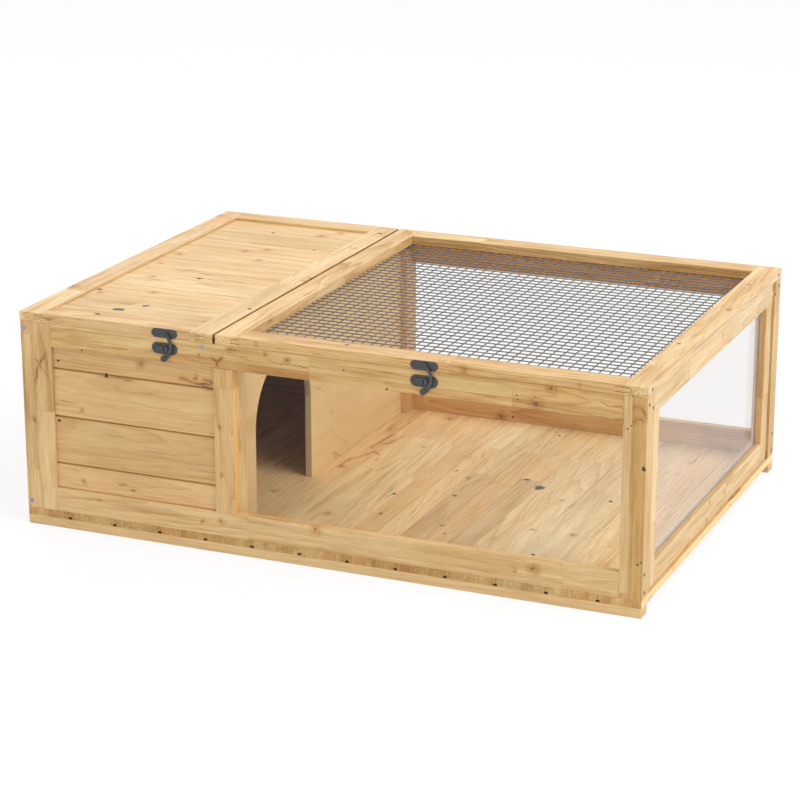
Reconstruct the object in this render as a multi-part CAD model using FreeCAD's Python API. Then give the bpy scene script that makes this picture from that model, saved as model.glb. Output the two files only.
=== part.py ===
import FreeCAD, Part
import math
import os

# Wooden tortoise house: a planked hide on the left and a glazed run on the right, under two hinged lids.
# X runs along the front, Y from front to back, Z up. The origin is on the ground under the middle of the house.
# Sizes are in millimetres.

# House
house_length = 920.0
house_depth = 646.0
wall_height = 277.6
wall_thickness = 13.5
foot_height = 14.0
foot_depth = 23.0
post_width = 20.0
post_depth = 30.0

# Front and back walls, from left to right and from the floor up
end_stile_width = 28.5
hide_bay_length = 253.0
centre_stile_width = 30.0
slim_stile_width = 12.0
bottom_rail_height = 35.0
top_rail_height = 34.6

# Side walls, set back between the corner posts
side_setback = 3.2
side_thickness = 14.4
side_stile_width = 33.0
side_bottom_rail_height = 33.0
side_top_rail_height = 33.0
side_board_cover = 3.2
side_pane_cover = 9.3
side_groove_depth = 6.0

# Tongue-and-groove boards of the floor and walls
floor_thickness = 11.0
floor_board_pitch = 72.0
first_floor_joint = 68.0
floor_relief_depth = 3.4
floor_relief_width = 2.4
floor_tongue_depth = 5.0
floor_tongue = 3.0
floor_tongue_reach = 5.0
wall_board_thickness = 7.0
wall_board_setback = 4.0
wall_board_pitch = 70.0
first_board_joint = 71.7
wall_vee = 1.8
wall_tongue = 2.4
wall_tongue_reach = 4.0
wall_groove_depth = 6.0
board_gap = 0.2
joint_clearance = 0.15

# Windows
pane_thickness = 3.0
pane_lap = 8.0
pane_clearance = 0.5

# Divider with its doorway, and the posts that hold it
divider_thickness = 10.0
divider_groove_depth = 8.0
divider_top_clearance = 0.6
divider_post_depth = 25.0
divider_post_drop = 8.0
doorway_width = 183.5
doorway_from_front = 88.0
doorway_spring_height = 125.5

# Lids
lid_thickness = 13.3
lid_overhang = 1.0
lid_gap = 3.8
lid_stile_width = 35.0
lid_rail_width = 36.0
lid_tongue = 6.0
lid_tongue_reach = 11.0
lid_board_pitch = 72.5
first_lid_joint = 24.5
lid_board_vee = 0.6
lid_board_tongue = 2.0
lid_board_tongue_reach = 4.0

# Welded mesh
wire_diameter = 1.2
mesh_pitch_x = 14.2
mesh_pitch_y = 14.9
mesh_clearance = 1.0
mesh_seat = 0.05

# Butt hinges
hinge_inset = 85.0
leaf_length = 42.0
leaf_height = 11.5
leaf_thickness = 1.2
knuckle_diameter = 4.8
lid_knuckle_length = 16.0
knuckle_clearance = 0.3
pin_diameter = 2.4
pin_clearance = 0.05

# Latches
solid_latch_from_edge = 73.0
latch_length = 39.0
latch_thickness = 1.2
lid_plate_edge = 0.35
keeper_height = 16.0
keeper_drop = 15.0
keeper_loop_length = 19.0
keeper_loop_height = 9.0
keeper_loop_rise = 2.6
keeper_loop_left = 3.5
keeper_slit_width = 1.4
keeper_slit_height = 6.5
keeper_slot_height = 0.9
keeper_slot_gap = 0.5
hook_standoff = 1.3
hook_thickness = 2.0
hook_pivot_offset = 2.0
hook_eye_radius = 3.6
hook_bulge = 8.9
hook_drop = 35.4
hook_neck_width = 3.4
hook_width = 4.4
hook_tail_width = 5.2
hook_tail_radius = 4.4
hook_tail_rise = 0.8
rivet_radius = 1.4
rivet_head_radius = 2.2
rivet_head_height = 0.5
rivet_boss_radius = 3.0
rivet_boss_height = 1.0
rivet_head_clearance = 0.3

# Places worked out from the sizes above
half_length = house_length / 2
half_depth = house_depth / 2
floor_top = foot_height + floor_thickness
wall_top = floor_top + wall_height
lid_top = wall_top + lid_thickness
rail_low = floor_top + bottom_rail_height
rail_high = wall_top - top_rail_height

front_face = -half_depth
front_inside = front_face + wall_thickness
side_end = half_depth - post_depth

left_post_inner = post_width - half_length
hide_left = left_post_inner + end_stile_width
hide_right = hide_left + hide_bay_length
run_left = hide_right + centre_stile_width
right_post_inner = half_length - post_width
run_right = right_post_inner - slim_stile_width

divider_middle = (hide_right + run_left) / 2
solid_lid_x = (-half_length - lid_overhang, hide_right)
mesh_lid_x = (hide_right + lid_gap, half_length + lid_overhang)
hinge_line_y = half_depth + knuckle_diameter / 2 + knuckle_clearance
wall_board_depth = (wall_board_setback, wall_board_setback + wall_board_thickness)

# Shape of the joint between two boards on their shown face, as (depth, distance from the joint)
wall_vee_shape = [(wall_vee, 0), (0, wall_vee)]
lid_vee_shape = [(lid_board_vee, 0), (0, lid_board_vee)]
floor_relief_shape = [(floor_relief_depth, 0), (floor_relief_depth, floor_relief_width), (0, floor_relief_width)]

# Board sections: thickness, joint shape, depth of the tongue, its thickness and its reach
wall_section = (wall_board_thickness, wall_vee_shape, (wall_board_thickness - wall_tongue) / 2,
                wall_tongue, wall_tongue_reach)
lid_section = (lid_tongue, lid_vee_shape, (lid_tongue - lid_board_tongue) / 2,
               lid_board_tongue, lid_board_tongue_reach)
floor_section = (floor_thickness, floor_relief_shape, floor_tongue_depth, floor_tongue, floor_tongue_reach)

FRONT = FreeCAD.Vector(0, -1, 0)
BACK = FreeCAD.Vector(0, 1, 0)
RIGHT = FreeCAD.Vector(1, 0, 0)
UP = FreeCAD.Vector(0, 0, 1)

nodes = {}


def box(x, y, z):
    """A block between pairs of limits, in any order."""
    low = FreeCAD.Vector(min(x), min(y), min(z))
    high = FreeCAD.Vector(max(x), max(y), max(z))
    size = high - low
    return Part.makeBox(size.x, size.y, size.z, low)


def prism(outline, run):
    """A closed outline of points pushed along a vector."""
    return Part.Face(Part.makePolygon(outline + outline[:1])).extrude(run)


def widen(limits, amount):
    """A pair of limits moved apart by the same amount at each end."""
    return (limits[0] - amount, limits[1] + amount)


def to_back(shape):
    """The same piece on the back wall, mirrored across the middle of the house."""
    return shape.mirror(FreeCAD.Vector(0, 0, 0), BACK)


def board_outline(low, high, section, jointed_below, jointed_above):
    """Outline of one board as (depth, along) pairs: depth 0 is the shown face, along crosses the boards."""
    thickness, joint, tongue_near, tongue, reach = section
    tongue_far = tongue_near + tongue
    slot_near = tongue_near - joint_clearance
    slot_far = tongue_far + joint_clearance
    slot_end = low + reach + joint_clearance
    outline = [(thickness, low)]
    if jointed_below:
        outline += [(slot_far, low), (slot_far, slot_end), (slot_near, slot_end), (slot_near, low)]
        outline += [(depth, low + inset) for depth, inset in joint]
    else:
        outline += [(0, low)]
    if jointed_above:
        outline += [(depth, high - inset) for depth, inset in reversed(joint)]
        outline += [(tongue_near, high), (tongue_near, high + reach), (tongue_far, high + reach), (tongue_far, high)]
    else:
        outline += [(0, high)]
    return outline + [(thickness, high)]


def boards(edges, section, place, run):
    """Boards side by side between successive edges; place turns (depth, along) into a point at their start."""
    solids = []
    last = len(edges) - 2
    for index in range(last + 1):
        jointed_below = index > 0
        jointed_above = index < last
        low = edges[index] + (board_gap / 2 if jointed_below else 0)
        high = edges[index + 1] - (board_gap / 2 if jointed_above else 0)
        outline = board_outline(low, high, section, jointed_below, jointed_above)
        solids.append(prism([place(depth, along) for depth, along in outline], run))
    return Part.Compound(solids)


def board_edges(low, high, first, pitch):
    """Edges of boards between two limits: joints at an even pitch from the first one, cut boards at the ends."""
    count = math.ceil((high - pitch / 4 - first) / pitch)
    return [low] + [first + pitch * index for index in range(count)] + [high]


def wall_edges(low, high):
    """Edges of the wall boards: all walls share the same joint heights."""
    return board_edges(low, high, floor_top + first_board_joint, wall_board_pitch)


def make_base():
    """Floor boards running front to back on two foot battens."""
    nodes["floor_boards"] = boards(
        board_edges(-half_length, half_length, first_floor_joint - half_length, floor_board_pitch), floor_section,
        lambda depth, along: FreeCAD.Vector(along, -half_depth, foot_height + depth),
        FreeCAD.Vector(0, house_depth, 0))
    batten = box((-half_length, half_length), (front_face, front_face + foot_depth), (0, foot_height))
    nodes["front_foot_batten"] = batten
    nodes["back_foot_batten"] = to_back(batten)


def make_long_walls():
    """Front wall between its corner posts, and the same wall mirrored at the back."""
    face = (front_face, front_inside)
    full_height = (floor_top, wall_top)
    post_y = (front_face, front_face + post_depth)
    groove_y = widen([front_face + depth for depth in wall_board_depth], joint_clearance)
    groove_x = widen((hide_left, hide_right), wall_groove_depth)
    groove_z = widen((rail_low, rail_high), wall_groove_depth)
    groove = box(groove_x, groove_y, groove_z)
    board_x = widen(groove_x, -joint_clearance)
    board_z = widen(groove_z, -joint_clearance)

    wall = {}
    wall["left_post"] = box((-half_length, left_post_inner), post_y, full_height)
    wall["right_post"] = box((right_post_inner, half_length), post_y, full_height)
    wall["left_stile"] = box((left_post_inner, hide_left), face, full_height).cut(groove)
    wall["centre_stile"] = box((hide_right, run_left), face, (rail_low, rail_high)).cut(groove)
    wall["right_stile"] = box((run_right, right_post_inner), face, full_height)
    wall["top_rail"] = box((hide_left, run_right), face, (rail_high, wall_top)).cut(groove)
    wall["bottom_rail"] = box((hide_left, run_right), face, (floor_top, rail_low)).cut(groove)
    wall["wall_boards"] = boards(
        wall_edges(*board_z), wall_section,
        lambda depth, along: FreeCAD.Vector(board_x[0], front_face + wall_board_setback + depth, along),
        FreeCAD.Vector(board_x[1] - board_x[0], 0, 0))
    wall["window"] = box(
        (run_left + pane_clearance, run_right + pane_lap), (front_inside, front_inside + pane_thickness),
        widen((rail_low, rail_high), pane_lap))
    for name, shape in wall.items():
        nodes["front_" + name] = shape
        nodes["back_" + name] = to_back(shape)


def make_side_frame(side, x, groove):
    """Top rail over two stiles, and a bottom rail between them, grooved for what fills the frame."""
    inner_end = side_end - side_stile_width
    stile_z = (floor_top, wall_top - side_top_rail_height)
    pieces = {
        "front_stile": box(x, (-side_end, -inner_end), stile_z),
        "back_stile": box(x, (inner_end, side_end), stile_z),
        "bottom_rail": box(x, (-inner_end, inner_end), (floor_top, floor_top + side_bottom_rail_height)),
        "top_rail": box(x, (-side_end, side_end), (wall_top - side_top_rail_height, wall_top)),
    }
    for name, shape in pieces.items():
        nodes[side + "_" + name] = shape.cut(groove)


def make_side_walls():
    """Planked left side and glazed right side, their boards and pane let into grooved frames."""
    outside = half_length - side_setback
    inside = outside - side_thickness
    bay_y = (side_stile_width - side_end, side_end - side_stile_width)
    bay_z = (floor_top + side_bottom_rail_height, wall_top - side_top_rail_height)
    groove_y = widen(bay_y, side_groove_depth)
    groove_z = widen(bay_z, side_groove_depth)

    cover = side_board_cover - outside
    board_x = (cover, cover + wall_board_thickness)
    make_side_frame("left", (-outside, -inside), box(widen(board_x, joint_clearance), groove_y, groove_z))
    board_y = widen(groove_y, -joint_clearance)
    nodes["left_wall_boards"] = boards(
        wall_edges(*widen(groove_z, -joint_clearance)), wall_section,
        lambda depth, along: FreeCAD.Vector(cover + depth, board_y[0], along),
        FreeCAD.Vector(0, board_y[1] - board_y[0], 0))

    pane_x = (outside - side_pane_cover - pane_thickness, outside - side_pane_cover)
    make_side_frame("right", (inside, outside), box(widen(pane_x, joint_clearance), groove_y, groove_z))
    nodes["right_window"] = box(pane_x, widen(groove_y, -pane_clearance), widen(groove_z, -pane_clearance))


def make_divider():
    """Plywood divider with an arched doorway, slid down into two grooved posts."""
    x = widen((divider_middle, divider_middle), divider_thickness / 2)
    post_inside = front_inside + divider_post_depth
    groove_end = post_inside - divider_groove_depth
    groove = box(widen(x, joint_clearance), (groove_end, post_inside), (floor_top, wall_top))
    post = box((hide_right, run_left), (front_inside, post_inside), (floor_top, wall_top - divider_post_drop))
    nodes["front_divider_post"] = post.cut(groove)
    nodes["back_divider_post"] = to_back(nodes["front_divider_post"])

    near = front_face + doorway_from_front
    far = near + doorway_width
    spring = floor_top + doorway_spring_height
    corners = [FreeCAD.Vector(x[0], y, z) for y, z in ((near, spring), (near, 0), (far, 0), (far, spring))]
    crown = FreeCAD.Vector(x[0], (near + far) / 2, spring + doorway_width / 2)
    jambs = Part.makePolygon(corners)
    arch = Part.Arc(corners[3], crown, corners[0]).toShape()
    doorway = Part.Face(Part.Wire(jambs.Edges + [arch])).extrude(FreeCAD.Vector(divider_thickness, 0, 0))
    end = -groove_end - joint_clearance
    sheet = box(x, (-end, end), (floor_top, wall_top - divider_top_clearance))
    nodes["divider"] = sheet.cut(doorway)


def make_lid_frame(lid, x, slot_lengths):
    """Stiles running front to back, and rails between them whose stub tongues fill slots in the stiles."""
    z = (wall_top, lid_top)
    middle = (wall_top + lid_top) / 2
    tongue_z = widen((middle, middle), lid_tongue / 2)
    slot_z = widen(tongue_z, joint_clearance)
    rails_x = (x[0] + lid_stile_width, x[1] - lid_stile_width)
    tongues_x = widen(rails_x, lid_tongue_reach - joint_clearance)
    slots = [box(widen(rails_x, lid_tongue_reach), y, slot_z) for y in slot_lengths]

    def slotted(shape):
        for slot in slots:
            shape = shape.cut(slot)
        return shape

    nodes[lid + "_left_stile"] = slotted(box((x[0], rails_x[0]), (-half_depth, half_depth), z))
    nodes[lid + "_right_stile"] = slotted(box((rails_x[1], x[1]), (-half_depth, half_depth), z))
    rail_y = (-half_depth, lid_rail_width - half_depth)
    rail = box(rails_x, rail_y, z).fuse(box(tongues_x, rail_y, tongue_z)).removeSplitter()
    return rail, tongue_z, slot_z


def make_solid_lid():
    """Grooved frame round a glued-up panel of boards."""
    rail, panel_z, slot_z = make_lid_frame("solid_lid", solid_lid_x, [(-half_depth, half_depth)])
    bay_x = (solid_lid_x[0] + lid_stile_width, solid_lid_x[1] - lid_stile_width)
    bay_y = (lid_rail_width - half_depth, half_depth - lid_rail_width)
    groove_x = widen(bay_x, lid_tongue_reach)
    groove_y = widen(bay_y, lid_tongue_reach)
    rail = rail.cut(box(groove_x, groove_y, slot_z))
    nodes["solid_lid_front_rail"] = rail
    nodes["solid_lid_back_rail"] = to_back(rail)
    board_x = widen(groove_x, -joint_clearance)
    board_y = widen(groove_y, -joint_clearance)
    nodes["solid_lid_boards"] = boards(
        board_edges(*board_y, board_y[0] + first_lid_joint, lid_board_pitch), lid_section,
        lambda depth, along: FreeCAD.Vector(board_x[0], along, panel_z[1] - depth),
        FreeCAD.Vector(board_x[1] - board_x[0], 0, 0))


def wire_places(low, high, pitch):
    """Places of evenly pitched wires, centred between two limits."""
    gaps = math.floor((high - low - wire_diameter) / pitch)
    start = (low + high - gaps * pitch) / 2
    return [start + pitch * index for index in range(gaps + 1)]


def wire(start, run, across):
    """A straight wire drawn six-sided, with a flat on top and one below."""
    radius = wire_diameter / math.sqrt(3)
    turns = [math.pi / 3 * side for side in range(6)]
    corners = [start + across * (radius * math.cos(turn)) + UP * (radius * math.sin(turn)) for turn in turns]
    return prism(corners, run)


def make_mesh_lid():
    """Frame with a welded wire mesh on its underside, which drops in between the walls."""
    rail_y = (-half_depth, lid_rail_width - half_depth)
    back_rail_y = (half_depth - lid_rail_width, half_depth)
    rail, _, _ = make_lid_frame("mesh_lid", mesh_lid_x, [rail_y, back_rail_y])
    nodes["mesh_lid_front_rail"] = rail
    nodes["mesh_lid_back_rail"] = to_back(rail)

    opening_x = (mesh_lid_x[0] + lid_stile_width, mesh_lid_x[1] - lid_stile_width)
    x = widen(opening_x, right_post_inner - mesh_clearance - opening_x[1])
    y = (front_inside + mesh_clearance, -front_inside - mesh_clearance)
    row_z = wall_top - mesh_seat - wire_diameter / 2
    column_z = row_z - wire_diameter - mesh_seat
    rows = [wire(FreeCAD.Vector(x[0], place, row_z), RIGHT * (x[1] - x[0]), BACK)
            for place in wire_places(*y, mesh_pitch_y)]
    columns = [wire(FreeCAD.Vector(place, y[0], column_z), BACK * (y[1] - y[0]), RIGHT)
               for place in wire_places(*x, mesh_pitch_x)]
    nodes["wire_mesh"] = Part.Compound(rows + columns)


def hinge_cylinder(middle, length, diameter):
    """A cylinder on the hinge line, centred at a place along it."""
    start = FreeCAD.Vector(middle - length / 2, hinge_line_y, wall_top)
    return Part.makeCylinder(diameter / 2, length, start, RIGHT)


def make_hinges(lid, lid_x):
    """Two three-knuckle butt hinges on the back of a lid; each leaf is notched round the other's knuckles."""
    end_knuckle = (leaf_length - lid_knuckle_length) / 2 - knuckle_clearance
    notch = knuckle_diameter / 2 + knuckle_clearance
    leaf_y = (half_depth, half_depth + leaf_thickness)
    house_leaves = []
    lid_leaves = []
    pins = []
    for middle in (lid_x[0] + hinge_inset, lid_x[1] - hinge_inset):
        leaf_x = widen((middle, middle), leaf_length / 2)
        notch_x = widen((middle, middle), lid_knuckle_length / 2 + knuckle_clearance)
        house_leaf = box(leaf_x, leaf_y, (wall_top - leaf_height, wall_top))
        house_leaf = house_leaf.cut(box(notch_x, leaf_y, (wall_top - notch, wall_top)))
        lid_leaf = box(leaf_x, leaf_y, (wall_top + notch, wall_top + leaf_height))
        lid_leaf = lid_leaf.fuse(box(widen(notch_x, -knuckle_clearance), leaf_y, (wall_top, wall_top + notch)))
        lid_leaf = lid_leaf.fuse(hinge_cylinder(middle, lid_knuckle_length, knuckle_diameter))
        for side in (-1, 1):
            place = middle + side * (leaf_length - end_knuckle) / 2
            house_leaf = house_leaf.fuse(hinge_cylinder(place, end_knuckle, knuckle_diameter))
        bore = hinge_cylinder(middle, leaf_length, pin_diameter + 2 * pin_clearance)
        house_leaves.append(house_leaf.cut(bore).removeSplitter())
        lid_leaves.append(lid_leaf.cut(bore).removeSplitter())
        pins.append(hinge_cylinder(middle, leaf_length, pin_diameter))
    nodes[lid + "_house_leaves"] = Part.Compound(house_leaves)
    nodes[lid + "_hinge_leaves"] = Part.Compound(lid_leaves)
    nodes[lid + "_hinge_pins"] = Part.Compound(pins)


def pill(middle, length, height, rise_from, rise_to):
    """A plate with round ends on the front of the house, between two distances out from the front face."""
    radius = height / 2
    reach = length / 2 - radius
    y = front_face - rise_from
    corners = [FreeCAD.Vector(middle.x + u, y, middle.z + w)
               for u, w in ((-reach, -radius), (reach, -radius), (reach, radius), (-reach, radius))]
    right_end = FreeCAD.Vector(middle.x + length / 2, y, middle.z)
    left_end = FreeCAD.Vector(middle.x - length / 2, y, middle.z)
    edges = [
        Part.makeLine(corners[0], corners[1]),
        Part.Arc(corners[1], right_end, corners[2]).toShape(),
        Part.makeLine(corners[2], corners[3]),
        Part.Arc(corners[3], left_end, corners[0]).toShape(),
    ]
    return Part.Face(Part.Wire(edges)).extrude(FRONT * (rise_to - rise_from))


def stud(place, radius, rise_from, rise_to):
    """A round stud square to the front face, between two distances out from it."""
    start = FreeCAD.Vector(place.x, front_face - rise_from, place.z)
    return Part.makeCylinder(radius, rise_to - rise_from, start, FRONT)


def hook_outline(pivot, tail, y):
    """Crescent strap from the pivot round to the tail, bulging to the right and broader towards the tail."""
    neck = hook_neck_width / 2
    end = hook_tail_width / 2
    bulge = FreeCAD.Vector(pivot.x + hook_bulge, y, (pivot.z + tail.z) / 2)
    outer = [FreeCAD.Vector(pivot.x + neck, y, pivot.z + neck), bulge + RIGHT * (hook_width / 2),
             FreeCAD.Vector(tail.x + end, y, tail.z - end)]
    inner = [FreeCAD.Vector(tail.x - end, y, tail.z + end), bulge - RIGHT * (hook_width / 2),
             FreeCAD.Vector(pivot.x - neck, y, pivot.z - neck)]
    edges = [
        Part.Arc(*outer).toShape(),
        Part.makeLine(outer[2], inner[0]),
        Part.Arc(*inner).toShape(),
        Part.makeLine(inner[2], outer[0]),
    ]
    return Part.Face(Part.Wire(edges))


def make_latch(lid, latch_x):
    """Riveted plate on the lid's edge, a swing hook on it, and a keeper whose raised loop the hook goes under."""
    plate_middle = FreeCAD.Vector(latch_x, 0, (wall_top + lid_top) / 2)
    keeper_middle = FreeCAD.Vector(latch_x, 0, wall_top - keeper_drop)
    pivot = plate_middle + RIGHT * hook_pivot_offset
    tail = FreeCAD.Vector(latch_x, 0, pivot.z - hook_drop)
    hook_back = latch_thickness + hook_standoff
    hook_front = hook_back + hook_thickness
    head_back = hook_front + rivet_head_clearance
    head_front = head_back + rivet_head_height

    plate_height = lid_thickness - 2 * lid_plate_edge
    plate = pill(plate_middle, latch_length, plate_height, 0, latch_thickness)
    boss = stud(pivot, rivet_boss_radius, latch_thickness, latch_thickness + rivet_boss_height)
    shaft = stud(pivot, rivet_radius, latch_thickness, head_front)
    head = stud(pivot, rivet_head_radius, head_back, head_front)
    nodes[lid + "_latch_plate"] = plate.fuse([boss, shaft, head]).removeSplitter()

    strap = hook_outline(pivot, tail, front_face - hook_back).extrude(FRONT * hook_thickness)
    eye = stud(pivot, hook_eye_radius, hook_back, hook_front)
    thumb = stud(tail, hook_tail_radius, hook_back, hook_front + hook_tail_rise)
    bore = stud(pivot, rivet_radius + pin_clearance, hook_back, hook_front)
    nodes[lid + "_latch_hook"] = strap.fuse([eye, thumb]).cut(bore).removeSplitter()

    loop_front = latch_thickness + keeper_loop_rise
    loop_middle = keeper_middle - RIGHT * keeper_loop_left
    loop_x = widen((loop_middle.x, loop_middle.x), (keeper_loop_length - keeper_loop_height) / 2)
    loop_top = keeper_middle.z + keeper_loop_height / 2
    slot_z = (loop_top + keeper_slot_gap, loop_top + keeper_slot_gap + keeper_slot_height)
    slit_x = widen((latch_x, latch_x), keeper_slit_width / 2)
    slit_z = widen((keeper_middle.z, keeper_middle.z), keeper_slit_height / 2)
    keeper = pill(keeper_middle, latch_length, keeper_height, 0, latch_thickness)
    keeper = keeper.fuse(pill(loop_middle, keeper_loop_length, keeper_loop_height, latch_thickness, loop_front))
    keeper = keeper.cut(box(loop_x, (front_face, front_face - latch_thickness), slot_z))
    keeper = keeper.cut(box(slit_x, (front_face, front_face - loop_front), slit_z))
    nodes[lid + "_latch_keeper"] = keeper.removeSplitter()


make_base()
make_long_walls()
make_side_walls()
make_divider()
make_solid_lid()
make_mesh_lid()
make_hinges("solid_lid", solid_lid_x)
make_hinges("mesh_lid", mesh_lid_x)
make_latch("solid_lid", hide_right - solid_latch_from_edge)
make_latch("mesh_lid", sum(mesh_lid_x) / 2)

os.makedirs("parts", exist_ok=True)
for name, shape in nodes.items():
    shape.exportStep("parts/" + name + ".step")
print(len(nodes), "pieces")
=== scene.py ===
import functools
import math
import zlib

import bmesh
import bpy
from mathutils import Matrix, Vector


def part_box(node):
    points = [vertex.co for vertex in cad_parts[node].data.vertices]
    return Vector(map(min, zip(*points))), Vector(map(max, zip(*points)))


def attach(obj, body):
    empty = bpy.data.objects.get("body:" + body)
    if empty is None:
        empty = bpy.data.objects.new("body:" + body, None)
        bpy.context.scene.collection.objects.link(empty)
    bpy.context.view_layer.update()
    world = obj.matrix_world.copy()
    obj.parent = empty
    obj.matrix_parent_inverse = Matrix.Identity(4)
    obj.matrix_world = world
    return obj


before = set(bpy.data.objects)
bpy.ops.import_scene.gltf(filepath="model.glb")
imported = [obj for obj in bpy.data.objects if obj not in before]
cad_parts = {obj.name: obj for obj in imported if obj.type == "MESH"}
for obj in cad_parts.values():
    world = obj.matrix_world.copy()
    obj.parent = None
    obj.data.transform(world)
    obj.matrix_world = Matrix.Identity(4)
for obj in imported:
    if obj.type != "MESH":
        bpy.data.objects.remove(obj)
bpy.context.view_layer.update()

# Wooden tortoise house: finishes for every piece, small fasteners, and a pale studio.
# Metres, +Z up, the origin on the ground under the middle of the house.
MM = 0.001
X, Y, Z = range(3)

# Boards and glued strips, as they are pitched in the house
floor_strip = 36 * MM
floor_notch = 3.6 * MM
floor_joint = -392 * MM
floor_stagger = 116 * MM
lid_board_pitch = 72.5 * MM
lid_board_joint = -273.35 * MM
wall_board_pitch = 70 * MM
wall_board_joint = 96.7 * MM
wall_board_gap = 2.2 * MM
rail_strip = 22.5 * MM
top_rail_joint = 280.1 * MM
side_rail_joint = 36.5 * MM

# Reach of the painted shade where one piece meets another
floor_recess = 3.2 * MM
board_foot_recess = 8.5 * MM
side_recess = 2.5 * MM
sill_recess = 15 * MM
lid_recess = 2 * MM

# Growth rings, pith and knots
ring_width = 3.4 * MM
ring_spread = 3.6 * MM
pith_depth = 16 * MM
pith_spread = 45 * MM
pith_lean = 0.12
knot_cell = 110 * MM
pin_knot = 0.6 * MM
pin_knot_spread = 1.2 * MM
knot_swirl = 12 * MM
far_off = 9.0

# Eased edges of the timber and of the latches
timber_ease = 0.7 * MM
board_ease = 0.4 * MM
floor_ease = 0.2 * MM
metal_ease = 0.3 * MM
edge_angle = math.radians(35)
weld_reach = 0.005 * MM

# Thickness of the coat on the mesh's wire
wire_coat = 0.25 * MM

# Panes: how far an edge is hidden in its groove, and where the painted glare beside it begins and is full
pane_grip = 5.5 * MM
foot_glare = (pane_grip + 24 * MM, pane_grip + 2 * MM)
end_glare = (pane_grip + 30 * MM, pane_grip + 14 * MM)

# Screws: heads, rims as shares of the radius, and the cross recess
screw_radius = 3.1 * MM
side_screw_radius = 2.6 * MM
small_screw_radius = 2.0 * MM
screw_sides = 24
screw_sink = 1.2 * MM
screw_proud = 0.25 * MM
screw_rim = 0.12
screw_dish = 0.30
recess_arm = 0.55 * MM
recess_reach = 2.2 * recess_arm
recess_depth = 0.7 * MM
recess_taper = 0.4

# Staples
staple_span = 9 * MM
staple_wire = 0.9 * MM
staple_leg = 3.2 * MM
staple_round = 0.25 * staple_wire
staple_inset = 7 * MM
staples_a_side = 7

# Where the screws sit
post_screw_inset = 6 * MM
post_screw_from_end = 10 * MM
divider_screw_inset = 15 * MM
divider_screw_drop = 7 * MM
lid_screw_inset = 17 * MM
latch_screw_inset = 5 * MM
plate_thickness = 1.2 * MM
leaf_length = 42 * MM
hinge_screw_rise = 7.2 * MM
hinge_screw_spread = 0.32 * leaf_length

# Camera of the photograph
camera_place = (1.3818, -3.2933, 1.2922)
camera_turn = (math.radians(90 - 17.777), 0, math.radians(23.0395))
camera_lens = 115.33
sensor_width = 36

# Studio
studio_size = 40
world_level = 0.77
paper_white = 0.8


class Value:
    """A socket of a finish: arithmetic on it adds Math nodes."""

    def __init__(self, finish, socket):
        self.finish = finish
        self.socket = socket

    def math(self, operation, *terms):
        return self.finish.node("ShaderNodeMath", {"operation": operation}, dict(enumerate(terms)))

    def __add__(self, other):
        return self.math("ADD", self, other)

    def __radd__(self, other):
        return self.math("ADD", other, self)

    def __sub__(self, other):
        return self.math("SUBTRACT", self, other)

    def __rsub__(self, other):
        return self.math("SUBTRACT", other, self)

    def __mul__(self, other):
        return self.math("MULTIPLY", self, other)

    def __rmul__(self, other):
        return self.math("MULTIPLY", other, self)

    def __truediv__(self, other):
        return self.math("DIVIDE", self, other)

    def __pow__(self, other):
        return self.math("POWER", self, other)

    def __abs__(self):
        return self.math("ABSOLUTE", self)

    def whole(self):
        return self.math("FLOOR", self)

    def part(self):
        return self.math("FRACT", self)

    def least(self, other):
        return self.math("MINIMUM", self, other)

    def most(self, other):
        return self.math("MAXIMUM", self, other)

    def over(self, other):
        return self.math("GREATER_THAN", self, other)

    def rise(self, low, high):
        """0 below low, 1 above high and smooth between; with low above high it falls instead."""
        return self.finish.node("ShaderNodeMapRange", {"interpolation_type": "SMOOTHSTEP"},
                                {"Value": self, "From Min": low, "From Max": high})

    def from_whole(self):
        """How far it is to the nearest whole number."""
        return 0.5 - abs(self.part() - 0.5)


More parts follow.
